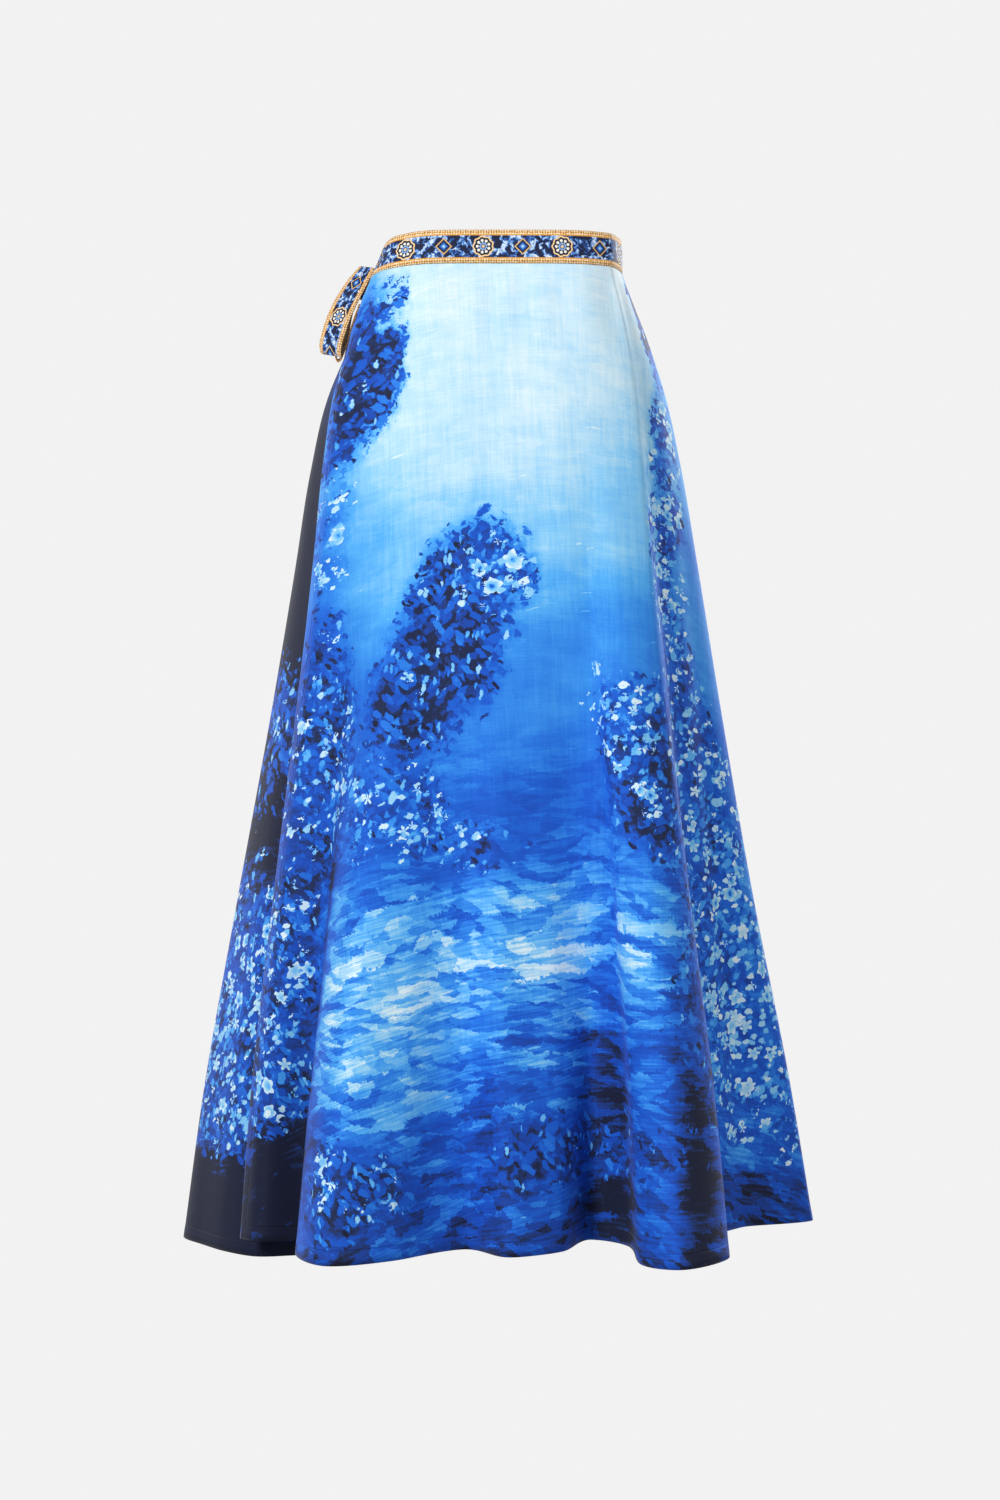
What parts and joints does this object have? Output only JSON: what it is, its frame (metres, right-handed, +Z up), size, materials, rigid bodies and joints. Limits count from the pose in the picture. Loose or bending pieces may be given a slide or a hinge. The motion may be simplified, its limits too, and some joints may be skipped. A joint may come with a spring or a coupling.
{
  "type": "wrap skirt",
  "caption": "Long flared wrap skirt in smooth cloth with deep soft folds and a narrow patterned waistband that ties in a bow on the left hip, hung open as it is worn.",
  "frame": {"origin": "centre of the waist opening, half way up the waistband", "axes": "+Z up out of the waist, +X to the right of the picture (the wearer's left), -Y out of the front"},
  "size_m": [0.6652, 0.5081, 1.0437],
  "materials": {
    "skirt_cloth": "smooth matte plain weave, painterly blue print",
    "band_cloth": "smooth matte plain weave, navy, white and gold border print"
  },
  "bodies": {
    "root": {"front_wrap": "skirt_cloth", "back_panel": "skirt_cloth", "front_under": "skirt_cloth", "waistband": "band_cloth", "tie_knot": "band_cloth", "tie_loop_front": "band_cloth", "tie_loop_back": "band_cloth", "tie_end_long": "band_cloth", "tie_end_short": "band_cloth"}
  },
  "joints": []
}
